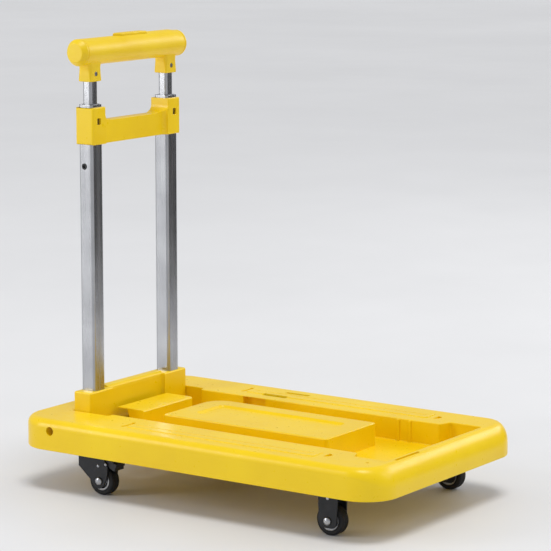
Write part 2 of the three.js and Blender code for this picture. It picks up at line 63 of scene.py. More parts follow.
# The box in the middle of the well, its sunk panel, and the lock pedal behind it.
BOX_REAR, BOX_FRONT, BOX_HALF, BOX_REAR_CORNER = -95.5, 102.8, 45.2, 22.0
PANEL_X, PANEL_Y, PANEL_HALF_X, PANEL_HALF_Y, PANEL_DEPTH, PANEL_SLOPE = 3.5, 2.0, 77.0, 24.0, 2.0, 2.5
PEDAL_REAR, PEDAL_FRONT, PEDAL_HALF, PEDAL_BOTTOM, PEDAL_TOP = -159.4, -122.6, 41.5, 52.0, 73.3

# On the rim: load pads, windows in the well's wall, dimples, curved slits, drain hole, slots.
PAD_REAR, PAD_FRONT, PAD_INNER, PAD_OUTER, PAD_HEIGHT = -91.0, 132.0, 92.0, 113.0, 0.7
PAD_Y = 0.5 * (PAD_INNER + PAD_OUTER)
NOTCH_REAR, NOTCH_FRONT, NOTCH_DEPTH = -81.5, -53.0, 83.0
DIMPLE_X, DIMPLE_Y, DIMPLE_RADIUS, DIMPLE_DEPTH = 139.0, 99.6, 6.0, 1.8
SLIT_RADIUS, SLIT_WIDTH, SLIT_SETBACK, SLIT_DEPTH = 31.0, 3.4, 32.0, 2.4
DRAIN_X, DRAIN_Y, DRAIN_RADIUS = 188.0, -104.0, 1.6
# Each slot's rear end, front end, two sides and depth.
SLOTS = ((-67, -38, 88.8, 94, 5), (-50, -21.5, 107, 112, 5), (202, 205, -80, -38, 3))

# Telescopic handle: tube sizes, grip, stems, collar.
OUTER_TUBE, MIDDLE_TUBE, INNER_TUBE, TUBE_WALL, INNER_TOP = 17.5, 14.5, 11.5, 1.2, 432.0
LOCK_X = HINGE_X - 1.5
GRIP_Z, GRIP_RADIUS, GRIP_HALF, CAP_LENGTH, CAP_RADIUS = 438.0, 13.5, 86.5, 7.0, 9.5
STEM_BOTTOM, SCREW_Z, LOCK_Z = 408.3, 416.0, 323.0
COLLAR_BOTTOM, COLLAR_TOP, WINDOW_Z = 345.0, 382.5, 368.3

# Casters: places, top plates, forks, wheels.
CASTER_Y, FRONT_X, REAR_X, TRAIL, WHEEL_Z = 108.0, 152.0, -133.0, 11.3, 15.0
PLATE_BOTTOM, PLATE_TOP, PLATE_HALF, SCREW_REACH = 44.5, 46.7, 18.0, 13.5
CASTER_BAY_X, CASTER_BAY_Y = 22.0, 20.0
FORK_IN, FORK_OUT, CROWN_TOP, CROWN_BOTTOM, KINGPIN_RADIUS = 7.6, 9.2, 44.0, 42.2, 3.2
WHEEL_RADIUS, WHEEL_HALF, AXLE_RADIUS, AXLE_HEAD = 15.0, 6.0, 2.0, 4.0
BRAKE_X, BRAKE_Z = 2.0, 35.0


# ------------------------------------------------------------------ outlines
def arc(cx, cy, radius, a, b, steps):
    """Points of an arc between two angles in degrees."""
    angles = [math.radians(a + (b - a) * i / steps) for i in range(steps + 1)]
    return [(cx + radius * math.cos(t), cy + radius * math.sin(t)) for t in angles]


def rounded_rect(half_x, half_y, radius, steps, cx=0.0, cy=0.0):
    """A rectangle with round corners, given by its half sizes and its centre."""
    x, y = half_x - radius, half_y - radius
    return (arc(cx + x, cy + y, radius, 0, 90, steps) + arc(cx - x, cy + y, radius, 90, 180, steps)
            + arc(cx - x, cy - y, radius, 180, 270, steps) + arc(cx + x, cy - y, radius, 270, 360, steps))


def rectangle(x0, x1, y0, y1):
    return [(x0, y0), (x1, y0), (x1, y1), (x0, y1)]


def circle(cx, cy, radius, steps=48):
    return arc(cx, cy, radius, 0, 360, steps)[:-1]


def area(points):
    """The signed area of an outline; it is positive when the outline runs counter-clockwise."""
    return 0.5 * sum(p[0] * q[1] - q[0] * p[1] for p, q in zip(points, points[1:] + points[:1]))


def counter_clockwise(points):
    return points if area(points) > 0 else points[::-1]


def round_corners(points, radius, steps=6, radii=None):
    """The polygon with every corner replaced by an arc; radii gives another radius for some corners."""
    points = counter_clockwise(points)
    out = []
    for i, p in enumerate(points):
        r = (radii or {}).get(i, radius)
        corner = Vector(p)
        before = (Vector(points[i - 1]) - corner).normalized()
        after = (Vector(points[(i + 1) % len(points)]) - corner).normalized()
        half = 0.5 * before.angle(after)
        if r <= 0 or abs(half - math.pi / 2) < 0.02:
            out.append(tuple(corner))
            continue
        reach = r / math.tan(half)
        centre = corner + (before + after).normalized() * (r / math.sin(half))
        start, end = corner + before * reach - centre, corner + after * reach - centre
        sweep = start.angle_signed(end)
        for k in range(steps + 1):
            turned = Matrix.Rotation(-sweep * k / steps, 2) @ start
            out.append(tuple(centre + turned))
    return out


def offset(points, distance):
    """The outline moved outward by a distance along the mitre of each point."""
    if abs(distance) < 1e-9:
        return list(points)
    out = []
    count = len(points)
    for i, p in enumerate(points):
        a, b, c = Vector(points[i - 1]), Vector(p), Vector(points[(i + 1) % count])
        d1, d2 = (b - a).normalized(), (c - b).normalized()
        n1, n2 = Vector((d1.y, -d1.x)), Vector((d2.y, -d2.x))
        mitre = (n1 + n2) / max(1.0 + n1.dot(n2), 0.3)
        out.append(tuple(b + mitre * distance))
    return out


# ------------------------------------------------------------------ solids
AXES = {
    "Z": lambda u, v, w: (u, v, w),
    "Y": lambda u, v, w: (u, w, v),
    "X": lambda u, v, w: (w, u, v),
}


def make_object(name, verts, faces):
    mesh = bpy.data.meshes.new(name)
    mesh.from_pydata([(x * MM, y * MM, z * MM) for x, y, z in verts], [], faces)
    bm = bmesh.new()
    bm.from_mesh(mesh)
    bmesh.ops.remove_doubles(bm, verts=bm.verts, dist=1e-7)
    bmesh.ops.recalc_face_normals(bm, faces=bm.faces)
    bm.to_mesh(mesh)
    bm.free()
    obj = bpy.data.objects.new(name, mesh)
    bpy.context.scene.collection.objects.link(obj)
    return obj


def loft(rings, closed=False):
    """A skin over rings of points; the ends are capped, or joined to each other when closed."""
    count = len(rings[0])
    verts = [p for ring in rings for p in ring]
    faces = []
    for r in range(len(rings) if closed else len(rings) - 1):
        base, above = r * count, ((r + 1) % len(rings)) * count
        for i in range(count):
            j = (i + 1) % count
            faces.append((base + i, base + j, above + j, above + i))
    if not closed:
        faces.append(tuple(range(count))[::-1])
        faces.append(tuple(range((len(rings) - 1) * count, len(rings) * count)))
    return make_object("solid", verts, faces)


def stack(outline, levels, axis="Z"):
    """A prism whose outline is offset at each (offset, height) level."""
    outline = counter_clockwise(outline)
    return loft([[AXES[axis](u, v, w) for u, v in offset(outline, grow)] for grow, w in levels])


def rounded_levels(w0, w1, r0, r1, steps):
    """Levels for stack() that round the lower edge by r0 and the upper edge by r1."""
    turns = [math.pi / 2 * i / steps for i in range(steps + 1)]
    lower = [(-r0 * (1 - math.sin(t)), w0 + r0 * (1 - math.cos(t))) for t in turns]
    upper = [(-r1 * (1 - math.sin(t)), w1 - r1 * (1 - math.cos(t))) for t in turns[::-1]]
    return (lower if r0 else [(0, w0)]) + (upper if r1 else [(0, w1)])


def prism(outline, w0, w1, axis="Z", r0=0.0, r1=0.0, steps=4):
    """A straight solid over an outline; r0 and r1 round the edges of its two ends."""
    return stack(outline, rounded_levels(w0, w1, r0, r1, steps), axis)


def pocket(outline, floor, top, inner=0.6, lip=0.8, steps=4):
    """A cutter that leaves a rounded floor edge and a rounded lip at the top face."""
    turns = [math.pi / 2 * i / steps for i in range(steps + 1)]
    levels = [(-inner * (1 - math.sin(t)), floor + inner * (1 - math.cos(t))) for t in turns]
    levels += [(lip * (1 - math.cos(t)), top - lip + lip * math.sin(t)) for t in turns]
    return stack(outline, levels + [(lip, top + 4)])


def block(x0, x1, y0, y1, z0, z1):
    return prism(rectangle(x0, x1, y0, y1), z0, z1)


def revolve(profile, x, y, z, steps=64):
    """A solid of revolution about an axis along Y; the profile holds (radius, y) pairs."""
    rings = []
    for k in range(steps):
        t = 2 * math.pi * k / steps
        rings.append([(x + r * math.cos(t), y + across, z + r * math.sin(t)) for r, across in profile])
    return loft(rings, closed=True)


def take_mesh(obj):
    """Applies the modifiers of an object to its mesh."""
    bpy.context.view_layer.update()
    mesh = bpy.data.meshes.new_from_object(obj.evaluated_get(bpy.context.evaluated_depsgraph_get()))
    obj.modifiers.clear()
    obj.data = mesh


def boolean(body, tool, operation):
    """Combines two solids into the first; the second is used up."""
    modifier = body.modifiers.new("boolean", "BOOLEAN")
    modifier.object = tool
    modifier.operation = operation
    modifier.solver = "MANIFOLD"
    take_mesh(body)
    bpy.data.objects.remove(tool)
    return body


def cut(body, *tools):
    for tool in tools:
        boolean(body, tool, "DIFFERENCE")
    return body


def join(body, *others):
    for other in others:
        boolean(body, other, "UNION")
    return body


def common(body, other):
    """What two solids share."""
    return boolean(body, other, "INTERSECT")


def bevel(obj, width, segments, angle):
    """Rounds the edges of a solid that are sharper than an angle in degrees."""
    bm = bmesh.new()
    bm.from_mesh(obj.data)
    bmesh.ops.remove_doubles(bm, verts=bm.verts, dist=2e-6)
    bmesh.ops.dissolve_limit(bm, angle_limit=math.radians(0.5), verts=bm.verts, edges=bm.edges)
    bm.to_mesh(obj.data)
    bm.free()
    modifier = obj.modifiers.new("bevel", "BEVEL")
    modifier.width = width * MM
    modifier.segments = segments
    modifier.limit_method = "ANGLE"
    modifier.angle_limit = math.radians(angle)
    modifier.use_clamp_overlap = False
    take_mesh(obj)
    return obj


def merge(*objects):
    """Several objects as one, without a boolean."""
    bm = bmesh.new()
    for obj in objects:
        bm.from_mesh(obj.data)
    for obj in objects[1:]:
        bpy.data.objects.remove(obj)
    bm.to_mesh(objects[0].data)
    bm.free()
    return objects[0]


# ------------------------------------------------------------------ materials
def srgb(r, g, b):
    """An sRGB colour from 0 to 255 as linear RGBA."""
    channel = lambda c: c / 12.92 if c <= 0.04045 else ((c + 0.055) / 1.055) ** 2.4
    return (channel(r / 255), channel(g / 255), channel(b / 255), 1.0)


def add_node(tree, kind, **inputs):
    node = tree.nodes.new(kind)
    for key, value in inputs.items():
        node.inputs[key.replace("_", " ")].default_value = value
    return node


def noise(tree, vector, scale, detail=4.0, roughness=0.55):
    node = add_node(tree, "ShaderNodeTexNoise", Scale=scale, Detail=detail, Roughness=roughness)
    tree.links.new(vector, node.inputs["Vector"])
    return node.outputs["Fac"]


def ramp(tree, value, stops):
    """A colour ramp over a value; the stops are (position, colour) pairs."""
    node = tree.nodes.new("ShaderNodeValToRGB")
    tree.links.new(value, node.inputs["Fac"])
    elements = node.color_ramp.elements
    for element, (position, colour) in zip(elements, (stops[0], stops[-1])):
        element.position = position
        element.color = colour
    for position, colour in stops[1:-1]:
        elements.new(position).color = colour
    return node.outputs["Color"]


def grey(value):
    return (value, value, value, 1.0)


def blend_colour(tree, factor, a, b, mode="MIX"):
    """Mixes two colours; each input is a constant or a socket."""
    node = tree.nodes.new("ShaderNodeMix")
    node.data_type = "RGBA"
    node.blend_type = mode
    for socket, value in ((node.inputs[0], factor), (node.inputs[6], a), (node.inputs[7], b)):
        if isinstance(value, (tuple, float, int)):
            socket.default_value = value
        else:
            tree.links.new(value, socket)
    return node.outputs[2]


def material(name, colours, rough, metallic=0.0, cloud=18.0, grain=900.0, stretch=(1, 1, 1), bump=0.06,
             wear=None, specular=0.5):
    """A surface with clouded colour, varied roughness, fine grain and worn edges."""
    made = bpy.data.materials.new(name)
    made.use_nodes = True
    tree = made.node_tree
    shader = tree.nodes["Principled BSDF"]
    shader.inputs["Metallic"].default_value = metallic
    shader.inputs["Specular IOR Level"].default_value = specular
    where = tree.nodes.new("ShaderNodeTexCoord").outputs["Object"]
    mapping = tree.nodes.new("ShaderNodeMapping")
    mapping.inputs["Scale"].default_value = stretch
    tree.links.new(where, mapping.inputs["Vector"])

    clouds = noise(tree, where, cloud)
    fine = noise(tree, mapping.outputs["Vector"], grain, detail=6.0, roughness=0.6)
    colour = ramp(tree, clouds, [(0.32, colours[0]), (0.68, colours[1])])
    speck = ramp(tree, fine, [(0.25, grey(0.965)), (0.75, grey(1.0))])
    colour = blend_colour(tree, 1.0, colour, speck, "MULTIPLY")
    if wear:
        edge = tree.nodes.new("ShaderNodeBevel")
        edge.samples = 4
        edge.inputs["Radius"].default_value = 0.0007
        facing = tree.nodes.new("ShaderNodeVectorMath")
        facing.operation = "DOT_PRODUCT"
        tree.links.new(edge.outputs["Normal"], facing.inputs[0])
        tree.links.new(tree.nodes.new("ShaderNodeNewGeometry").outputs["True Normal"], facing.inputs[1])
        patches = noise(tree, where, 140.0)
        rubbed = ramp(tree, facing.outputs["Value"], [(0.86, grey(1.0)), (0.985, grey(0.0))])
        patches = ramp(tree, patches, [(0.45, grey(0.0)), (0.62, grey(0.55))])
        rubbed = blend_colour(tree, 1.0, rubbed, patches, "MULTIPLY")
        colour = blend_colour(tree, rubbed, colour, wear)
    tree.links.new(colour, shader.inputs["Base Color"])

    rubs = noise(tree, mapping.outputs["Vector"], grain * 0.12, detail=3.0)
    roughness = ramp(tree, rubs, [(0.3, grey(rough[0])), (0.7, grey(rough[1]))])
    tree.links.new(roughness, shader.inputs["Roughness"])

    bumps = add_node(tree, "ShaderNodeBump", Strength=bump, Distance=0.0004)
    tree.links.new(fine, bumps.inputs["Height"])
    tree.links.new(bumps.outputs["Normal"], shader.inputs["Normal"])
    return made


YELLOW = material("moulded_yellow", (srgb(243, 203, 0), srgb(250, 213, 2)), (0.27, 0.37), cloud=14.0,
                  grain=1500.0, bump=0.02, wear=srgb(252, 226, 70), specular=0.42)
YELLOW_SOFT = material("moulded_yellow_textured", (srgb(244, 205, 2), srgb(250, 215, 6)), (0.34, 0.44),
                       cloud=20.0, grain=2600.0, bump=0.09, wear=srgb(252, 228, 80))
ALUMINIUM = material("satin_aluminium", (srgb(166, 167, 170), srgb(182, 183, 186)), (0.2, 0.32), metallic=1.0,
                     cloud=30.0, grain=1400.0, stretch=(1, 1, 0.02), bump=0.05)
BLACK_STEEL = material("black_coated_steel", (srgb(24, 25, 28), srgb(36, 37, 41)), (0.3, 0.46), metallic=0.35,
                       cloud=90.0, grain=2200.0, bump=0.12, wear=srgb(120, 122, 126))
RUBBER = material("black_rubber", (srgb(17, 17, 18), srgb(28, 28, 30)), (0.55, 0.72), cloud=120.0,
                  grain=1800.0, bump=0.2, specular=0.35)
ZINC = material("zinc_plate", (srgb(160, 161, 165), srgb(186, 188, 192)), (0.22, 0.36), metallic=1.0,
                cloud=160.0, grain=2400.0, bump=0.05)
BLACK_PLASTIC = material("black_moulding", (srgb(18, 18, 19), srgb(29, 29, 31)), (0.38, 0.5), cloud=70.0,
                         grain=1600.0, bump=0.1, wear=srgb(70, 70, 72))
GREY_PLASTIC = material("grey_moulding", (srgb(40, 41, 44), srgb(56, 57, 60)), (0.34, 0.46), cloud=80.0,
                        grain=1600.0, bump=0.08, wear=srgb(120, 121, 124))

BODY_OF = {n: body for body, nodes in frame["record"]["behaviour"]["bodies"].items() for n in nodes}


def piece(obj, name, finish, replaces=(), body=None, sharp=32):
    """Names a finished mesh, gives it its material and body, and stands it in for CAD nodes."""
    obj.name = name
    obj.data.name = name
    obj.data.materials.clear()
    obj.data.materials.append(finish)
    for polygon in obj.data.polygons:
        polygon.use_smooth = True
        polygon.material_index = 0
    obj.data.set_sharp_from_angle(angle=math.radians(sharp))
    weighted = obj.modifiers.new("weighted", "WEIGHTED_NORMAL")
    weighted.keep_sharp = True
    weighted.weight = 60
    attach(obj, body or BODY_OF[replaces[0]])
    if replaces:
        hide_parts(*replaces)
    return obj


# ------------------------------------------------------------------ deck
def deck_ring(turn, inset=None, z=None):
    """One ring of the outside of the deck; the front edge is rolled over more than the sides."""
    ring = []
    radius = DECK_CORNER
    for sx, sy, start in ((1, 1, 0), (-1, 1, 90), (-1, -1, 180), (1, -1, 270)):
        cx, cy = sx * (DECK_X - radius), sy * (DECK_Y - radius)
        for k in range(CORNER_STEPS + 1):
            t = math.radians(start + 90 * k / CORNER_STEPS)
            nx, ny = math.cos(t), math.sin(t)
            front = max(0.0, nx) ** 2
            across = ROLL_SIDE + (ROLL_FRONT_ACROSS - ROLL_SIDE) * front
            down = ROLL_SIDE + (ROLL_FRONT_DOWN - ROLL_SIDE) * front
            gone = across * (1 - math.cos(turn)) if inset is None else inset
            height = DECK_TOP - down * (1 - math.sin(turn)) if z is None else z
            ring.append((cx + (radius - gone) * nx, cy + (radius - gone) * ny, height))
    return ring


def mirrored(half):
    """An outline from its half with positive y."""
    return half + [(x, -y) for x, y in half[::-1]]


def well_outline(grow=0.0):
    """Plan of the well that the handle folds into."""
    foot_end, grip_start = FOOT_BAY_FRONT + grow, GRIP_BAY_REAR - grow
    foot_half, tube_half, grip_half = FOOT_BAY_HALF + grow, TUBE_BAY_HALF + grow, GRIP_BAY_HALF + grow
    points = mirrored([
        (FOOT_BAY_REAR - grow, foot_half), (foot_end, foot_half), (foot_end, tube_half),
        (grip_start, tube_half), (grip_start + GRIP_BAY_FLARE, grip_half),
        (GRIP_BAY_FRONT + grow, grip_half)])
    return round_corners(points, 2.5, 5)


def box_outline(inset=0.0):
    """Plan of the centre box, with one large corner at the rear left."""
    x0, x1, y = BOX_REAR + inset, BOX_FRONT - inset, BOX_HALF - inset
    large = BOX_REAR_CORNER - inset
    return counter_clockwise(arc(x1 - 4, y - 4, 4, 0, 90, 6) + arc(x0 + large, y - large, large, 90, 180, 14)
                             + arc(x0 + 3, -y + 3, 3, 180, 270, 5) + arc(x1 - 4, -y + 4, 4, 270, 360, 6))


def y_range(side, near, far):
    """The y range between two distances from the middle, on one side."""
    return (near, far) if side > 0 else (-far, -near)


def caster_centres():
    return [(x, side * CASTER_Y) for x in (FRONT_X, REAR_X) for side in (-1, 1)]


def under_structure():
    """What stands below the deck's top skin: the well's walls, bosses and ribs."""
    jacket = prism(well_outline(WALL), WELL_FLOOR - WALL, DECK_TOP)
    cut(jacket, prism(box_outline(WALL), DECK_BOTTOM - 1, DECK_TOP - WALL - 1))
    half = GRIP_BAY_HALF + WALL
    join(jacket, block(GRIP_BAY_REAR + 2, GRIP_BAY_FRONT + WALL, -half, half, GRIP_FLOOR - WALL, DECK_TOP))
    join(jacket, block(NOTCH_REAR - WALL, NOTCH_FRONT + WALL, TUBE_BAY_HALF + 1, NOTCH_DEPTH + WALL,
                       WELL_FLOOR, DECK_TOP))
    for x, y in caster_centres():
        boss = rounded_rect(CASTER_BAY_X + 1, CASTER_BAY_Y + 1, 3, 5, x, y)
        join(jacket, prism(boss, PLATE_TOP + GAP, DECK_TOP))
    for side in SIDES.values():
        y0, y1 = y_range(side, BOSS_INNER, BOSS_OUTER)
        join(jacket, block(HINGE_X - BOSS_HALF, HINGE_X + BOSS_HALF, y0, y1, HINGE_Z - BOSS_HALF, DECK_TOP))
        y0, y1 = y_range(side, *LONG_RIB)
        join(jacket, block(-RIB_END_X, RIB_END_X, y0, y1, RIB_BOTTOM, DECK_TOP))
    for x in CROSS_RIBS:
        x0, x1 = x - CROSS_RIB_HALF, x + CROSS_RIB_HALF
        join(jacket, block(x0, x1, -RIB_END_Y, RIB_END_Y, RIB_BOTTOM, DECK_TOP))
    return cut(jacket, prism(box_outline(WALL), DECK_BOTTOM - 1, WELL_FLOOR - WALL))


def tilted_dimple(side):
    """A half round finger notch whose floor rises towards its round end."""
    outline = counter_clockwise(arc(DIMPLE_X, side * DIMPLE_Y, DIMPLE_RADIUS, -90, 90, 16))
    rise = 1.5 / DIMPLE_RADIUS
    floor = [(x, y, DECK_TOP - DIMPLE_DEPTH + rise * (x - DIMPLE_X)) for x, y in outline]
    return loft([floor, [(x, y, DECK_TOP + 4) for x, y in outline]])


def curved_slit(side):
    """The crescent cut behind a rim pad."""
    centre, middle, inner = PAD_REAR - SLIT_SETBACK, side * PAD_Y, SLIT_RADIUS - SLIT_WIDTH
    bow = arc(centre, middle, SLIT_RADIUS, -21, 21, 12) + arc(centre, middle, inner, 21, -21, 12)
    return pocket(bow, DECK_TOP - SLIT_DEPTH, DECK_TOP, 0.2, 0.4, 2)


def load_pad(body, side):
    """A raised pad on the rim with a shallow groove along its middle."""
    middle_x, half_x = 0.5 * (PAD_FRONT + PAD_REAR), 0.5 * (PAD_FRONT - PAD_REAR)
    half_y = 0.5 * (PAD_OUTER - PAD_INNER)
    top = DECK_TOP + PAD_HEIGHT
    join(body, prism(rounded_rect(half_x, half_y, 4, 8, middle_x, side * PAD_Y), DECK_TOP - 0.5, top, r1=0.6))
    groove = rounded_rect(half_x - 5, 0.7, 0.65, 4, middle_x, side * PAD_Y)
    cut(body, pocket(groove, top - 0.7, top, 0.1, 0.3, 2))


def box_panel():
    """The cutter for the sunk panel on the box, with a sloping border."""
    outlines = [rounded_rect(PANEL_HALF_X - slope, PANEL_HALF_Y - slope, 6.5 - slope, 8, PANEL_X, PANEL_Y)
                for slope in (PANEL_SLOPE, 0, 0)]
    heights = (DECK_TOP - PANEL_DEPTH, DECK_TOP - 0.1, DECK_TOP + 3)
    return loft([[(x, y, z) for x, y in outline] for outline, z in zip(outlines, heights)])


def deck():
    """The deck moulding: a rolled shell with a hollow underside, the well, the box and the rim details."""
    foot = ((3.2, 0), (1.2, 0), (0.35, 0.35), (0, 1.2))
    rings = [deck_ring(0, inset, DECK_BOTTOM + rise) for inset, rise in foot]
    rings += [deck_ring(math.pi / 2 * i / ROLL_STEPS) for i in range(ROLL_STEPS + 1)]
    body = loft(rings)
    hollow = loft([deck_ring(0, WALL + 1, DECK_BOTTOM - 1), deck_ring(0, WALL + 0.4, 56),
                   deck_ring(0, WALL + 4, 64), deck_ring(0, WALL + 12, DECK_TOP - WALL)])
    cut(hollow, under_structure())
    cut(body, hollow)
    for side in SIDES.values():
        load_pad(body, side)

    well = pocket(well_outline(), WELL_FLOOR, DECK_TOP, 0.8, 0.9)
    cut(well, prism(box_outline(), WELL_FLOOR - 1, DECK_TOP, r1=1.3))
    cut(body, well)
    bay = rectangle(GRIP_BAY_REAR + GRIP_BAY_FLARE, GRIP_BAY_FRONT, -GRIP_BAY_HALF, GRIP_BAY_HALF)
    cut(body, prism(round_corners(bay, 2.5), GRIP_FLOOR, DECK_TOP - 5, r0=0.6))
    cut(body, box_panel())
    cut(body, block(PEDAL_REAR - 1, PEDAL_FRONT + 1, -PEDAL_HALF - 1, PEDAL_HALF + 1, WELL_FLOOR - WALL - 1,
                    WELL_FLOOR + 1))
    cut(body, prism(circle(HINGE_X, HINGE_Z, PIN_RADIUS + 0.5, 40), -140, 140, "Y"))
    for x, y in caster_centres():
        cut(body, block(x - CASTER_BAY_X, x + CASTER_BAY_X, y - CASTER_BAY_Y, y + CASTER_BAY_Y,
                        DECK_BOTTOM - 1, PLATE_TOP + GAP))
    for x0, x1, y0, y1, depth in SLOTS:
        slot = round_corners(rectangle(x0, x1, y0, y1), 0.7, 3)
        cut(body, pocket(slot, DECK_TOP - depth, DECK_TOP, 0.1, 0.3, 2))
    cut(body, pocket(circle(DRAIN_X, DRAIN_Y, DRAIN_RADIUS, 24), DECK_TOP - WALL, DECK_TOP, 0.1, 0.3, 2))
    cut(body, block(NOTCH_REAR, NOTCH_FRONT, TUBE_BAY_HALF - 1, NOTCH_DEPTH, WELL_FLOOR + 5, DECK_TOP - 0.7))
    for side in SIDES.values():
        cut(body, tilted_dimple(side), curved_slit(side))
        y0, y1 = y_range(side, TUBE_BAY_HALF - 1.3, TUBE_BAY_HALF + 1)
        for x in WALL_RIBS:
            rib = round_corners(rectangle(x - WALL_RIB_HALF, x + WALL_RIB_HALF, y0, y1), 0.7, 4)
            join(body, prism(rib, WELL_FLOOR - 1, DECK_TOP - 0.9, r1=0.5))
    piece(body, "deck_moulding", YELLOW, ["deck_shell"])


def lock_pedal():
    """The lock pedal, open below, at the rear and along the rear part of its sides."""
    rear, front, half, bottom, top = PEDAL_REAR, PEDAL_FRONT, PEDAL_HALF, PEDAL_BOTTOM, PEDAL_TOP
    wall = 2.6
    side = [(rear, bottom), (front, bottom), (front, top - 1.5), (front - 1.5, top), (rear + 3, top),
            (rear, top - 3)]
    body = prism(counter_clockwise(side), -half, half, "Y")
    cut(body, block(rear + wall, front - wall, -half + wall, half - wall, bottom - 1, top - wall))
    window = [(rear - 1, bottom + 3), (rear + 20, bottom + 3), (rear + 15.5, top - 1.2),
              (rear - 1, top - 1.2)]
    cut(body, prism(counter_clockwise(window), -half - 1, half + 1, "Y"))
    bevel(body, 0.55, 3, 30)
    piece(body, "pedal_moulding", YELLOW, ["lock_pedal"])


# ------------------------------------------------------------------ folding handle
def yoke(depth, half_width, inner, front_x, rear_x):
    """Plan of a cross member: two thick ends and a thinner bar, joined by concave fillets."""
    radius = depth / 2 - front_x
    half = [(HINGE_X + depth / 2, half_width), (HINGE_X + depth / 2, inner)]
    half += arc(HINGE_X + depth / 2, inner - radius, radius, 90, 180, 12)[1:]
    rear = [(HINGE_X + rear_x, -half_width), (HINGE_X + rear_x, half_width)]
    return counter_clockwise(mirrored(half) + rear)


def tube_bore(size, side, z0, z1):
    """The cutter for the hole that holds a tube."""
    half = size / 2 + GAP
    return prism(rounded_rect(half, half, 3, 6, HINGE_X, side * TUBE_Y), z0, z1)


def foot_bracket():
    """The lower cross member of the handle: a sleeve for each tube, on the hinge axis."""
    half, top, bar_top, width, inner = 10.75, 93.5, 95.0, 81.3, 44.0
    sleeve = counter_clockwise(arc(HINGE_X, HINGE_Z, half, 180, 360, 32)
                               + arc(HINGE_X + half - 2, top - 2, 2, 0, 90, 6)
                               + arc(HINGE_X - half + 2, top - 2, 2, 90, 180, 6))
    bar = counter_clockwise([(HINGE_X - 8, HINGE_Z - 4), (HINGE_X + 7, HINGE_Z - 4)]
                            + arc(HINGE_X + 2, bar_top - 5, 5, 0, 90, 10)
                            + arc(HINGE_X - 4, bar_top - 4, 4, 90, 180, 10))
    body = prism(bar, -inner - 2, inner + 2, "Y")
    for side in SIDES.values():
        y0, y1 = y_range(side, inner, width)
        r0, r1 = (1.8, 0) if side < 0 else (0, 1.8)
        join(body, prism(sleeve, y0, y1, "Y", r0, r1))
    fillets = prism(yoke(2 * half, width - 2, inner, 6.8, -8), HINGE_Z + 2, top - 0.6, r1=0.6)
    join(body, common(fillets, prism(sleeve, -width + 1.8, width - 1.8, "Y")))
    for side in SIDES.values():
        cut(body, tube_bore(OUTER_TUBE, side, 68, top + 5))
    cut(body, prism(circle(HINGE_X, HINGE_Z, PIN_RADIUS + 0.5, 40), -width - 1, width + 1, "Y"))
    piece(body, "foot_moulding", YELLOW, ["foot_bracket"])


def collar_bracket():
    """The collar that joins the tops of the two outer tubes."""
    depth, width, inner, bottom, top, bar_top = 23.0, 72.6, 51.2, COLLAR_BOTTOM, COLLAR_TOP, 368.0
    half = ([(0, bottom), (inner, bottom)] + arc(width - 2, bottom + 2, 2, 270, 360, 5)
            + arc(width - 2, top - 2, 2, 0, 90, 5) + [(inner + 1, top)]
            + arc(inner - 6, top - 7, 7, 0, -60, 8) + arc(inner - 14, bar_top + 6, 6, 300, 270, 5)
            + [(0, bar_top)])
    front_view = half + [(-y, z) for y, z in half[1:-1][::-1]]
    body = prism(counter_clockwise(front_view), HINGE_X - depth / 2, HINGE_X + depth / 2, "X", 1.0, 1.0)
    plan = yoke(depth, width, inner, 6.5, -depth / 2)
    outer = [i for i, (_, y) in enumerate(plan) if abs(y) > width - 0.01]
    common(body, prism(round_corners(plan, 0, 6, {i: 2.6 for i in outer}), bottom - 1, top + 1))
    scoop = round_corners(rectangle(HINGE_X - depth, HINGE_X - 7, -inner + 4, inner - 4), 3, 6)
    cut(body, prism(scoop, bottom - 1, top + 1))
    for side in SIDES.values():
        cut(body, tube_bore(OUTER_TUBE, side, bottom - 1, top + 1))
        window = rounded_rect(2.8, 3.2, 0.6, 4, side * (TUBE_Y + 0.4), WINDOW_Z)
        cut(body, prism(window, HINGE_X + 5, HINGE_X + depth, "X"))
    bevel(body, 0.45, 2, 40)
    piece(body, "collar_moulding", YELLOW, ["collar_bracket"])


def square_tube(size, bottom, top, side):
    """A square tube with rounded edges, on one side of the handle."""
    outline = lambda s, r: rounded_rect(s / 2, s / 2, r, 8, HINGE_X, side * TUBE_Y)
    body = prism(outline(size, 3), bottom, top, r0=0.25, r1=0.25, steps=2)
    return cut(body, prism(outline(size - 2 * TUBE_WALL, 1.9), bottom - 1, top + 1))


